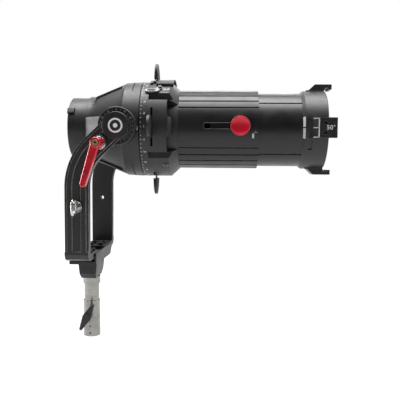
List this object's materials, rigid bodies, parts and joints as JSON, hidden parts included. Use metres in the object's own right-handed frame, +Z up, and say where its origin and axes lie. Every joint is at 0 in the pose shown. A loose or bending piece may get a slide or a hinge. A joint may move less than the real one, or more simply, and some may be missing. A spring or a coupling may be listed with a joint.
{
  "type": "ellipsoidal spotlight",
  "caption": "Profile spotlight optic on a trunnion yoke: focusing lens tube, rotating gate section with framing shutters, tilt lock and junior pin.",
  "frame": {"origin": "Centre of the bottom end face of the junior pin.", "axes": "+Z up along the pin, +X the way the light goes, +Y to the far yoke arm."},
  "size_m": [0.436, 0.2436, 0.4725],
  "materials": {
    "powder_black": "cast aluminium under a fine satin black powder coat",
    "tube_black": "black anodised extrusion",
    "red_anodised": "red anodised, satin",
    "stainless": "turned stainless steel",
    "zinc": "bright zinc plated",
    "chrome": "polished",
    "black_screw": "black oxide",
    "black_plastic": "moulded black nylon",
    "brass": "plain",
    "bronze": "sintered bronze",
    "blade_steel": "rolled stainless sheet",
    "glass": "clear, coated",
    "fibre": "friction fibre"
  },
  "bodies": {
    "yoke": {"junior_pin": "stainless", "pin_set_screws": "black_screw", "pin_block": "powder_black", "yoke_base": "powder_black", "centre_bolt": "stainless", "foot_screws": "black_screw", "near_arm": "powder_black", "far_arm": "powder_black", "tilt_bushes": "bronze", "pivot_caps": "powder_black", "lever_washers": "stainless", "lever_stud": "stainless", "safety_screw": "chrome"},
    "lever": {"tilt_lever": "red_anodised", "lever_screw": "brass"},
    "ring": {"safety_ring": "chrome"},
    "stand_clamp": {"clamp_screw": "stainless", "clamp_handle": "black_plastic"},
    "housing": {"rear_mount_ring": "powder_black", "mount_lock": "black_plastic", "cone_housing": "powder_black", "tilt_discs": "powder_black", "pivot_shafts": "stainless", "friction_washers": "fibre", "condenser_cell": "powder_black", "condenser_rear": "glass", "condenser_front": "glass", "condenser_ring": "powder_black"},
    "front_section": {"rotating_housing": "powder_black", "degree_ring": "powder_black", "turn_retainer": "powder_black", "gate_plates": "blade_steel", "gate_spacers": "blade_steel", "cover_hinge": "black_screw", "latch_screw": "black_screw", "housing_screws": "black_screw", "outer_tube": "tube_black"},
    "shutter_near": {"shutter_near": "blade_steel", "shutter_handle_near": "black_plastic"},
    "shutter_top": {"shutter_top": "blade_steel", "shutter_handle_top": "black_plastic"},
    "shutter_far": {"shutter_far": "blade_steel", "shutter_handle_far": "black_plastic"},
    "shutter_bottom": {"shutter_bottom": "blade_steel", "shutter_handle_bottom": "black_plastic"},
    "cover": {"slot_cover": "powder_black"},
    "latch": {"cover_latch": "zinc"},
    "lens_section": {"lens_tube": "tube_black", "front_ring": "powder_black", "frame_clips": "powder_black", "clip_screws": "black_screw", "focus_washer": "fibre", "rear_cell": "tube_black", "rear_lens": "glass", "front_cell": "tube_black", "front_lens": "glass"},
    "knob": {"focus_knob": "red_anodised", "focus_stem": "black_screw"}
  },
  "joints": [
    {"name": "tilt", "type": "hinge", "parent": "yoke", "child": "housing", "pos_m": [0.0625, 0, 0.3615], "axis": [0, 1, 0], "range_deg": [-90, 75]},
    {"name": "lever_turn", "type": "hinge", "parent": "yoke", "child": "lever", "pos_m": [0.0373, -0.12, 0.3344], "axis": [0, 1, 0], "range_deg": [-60, 60]},
    {"name": "ring_swing", "type": "hinge", "parent": "yoke", "child": "ring", "pos_m": [0.0015, -0.1125, 0.235], "axis": [0, 0, 1], "range_deg": [-80, 80]},
    {"name": "clamp_turn", "type": "hinge", "parent": "yoke", "child": "stand_clamp", "pos_m": [0, -0.03, 0.041], "axis": [0, 1, 0], "continuous": true},
    {"name": "section_turn", "type": "hinge", "parent": "housing", "child": "front_section", "pos_m": [0.1, 0, 0.3615], "axis": [1, 0, 0], "continuous": true},
    {"name": "shutter_near_slide", "type": "slide", "parent": "front_section", "child": "shutter_near", "axis": [0, -1, 0], "range_m": [0, 0.045]},
    {"name": "shutter_top_slide", "type": "slide", "parent": "front_section", "child": "shutter_top", "axis": [0, 0, 1], "range_m": [0, 0.045]},
    {"name": "shutter_far_slide", "type": "slide", "parent": "front_section", "child": "shutter_far", "axis": [0, 1, 0], "range_m": [0, 0.045]},
    {"name": "shutter_bottom_slide", "type": "slide", "parent": "front_section", "child": "shutter_bottom", "axis": [0, 0, -1], "range_m": [0, 0.045]},
    {"name": "cover_open", "type": "hinge", "parent": "front_section", "child": "cover", "pos_m": [0.13, 0.0455, 0.4325], "axis": [-1, 0, 0], "range_deg": [0, 105]},
    {"name": "latch_turn", "type": "hinge", "parent": "front_section", "child": "latch", "pos_m": [0.1254, -0.04836, 0.42535], "axis": [0, -0.6428, 0.766], "range_deg": [-45, 0]},
    {"name": "focus_slide", "type": "slide", "parent": "front_section", "child": "lens_section", "axis": [1, 0, 0], "range_m": [-0.05, 0.01]},
    {"name": "knob_turn", "type": "hinge", "parent": "lens_section", "child": "knob", "pos_m": [0.2558, -0.07, 0.364], "axis": [0, 1, 0], "continuous": true}
  ]
}
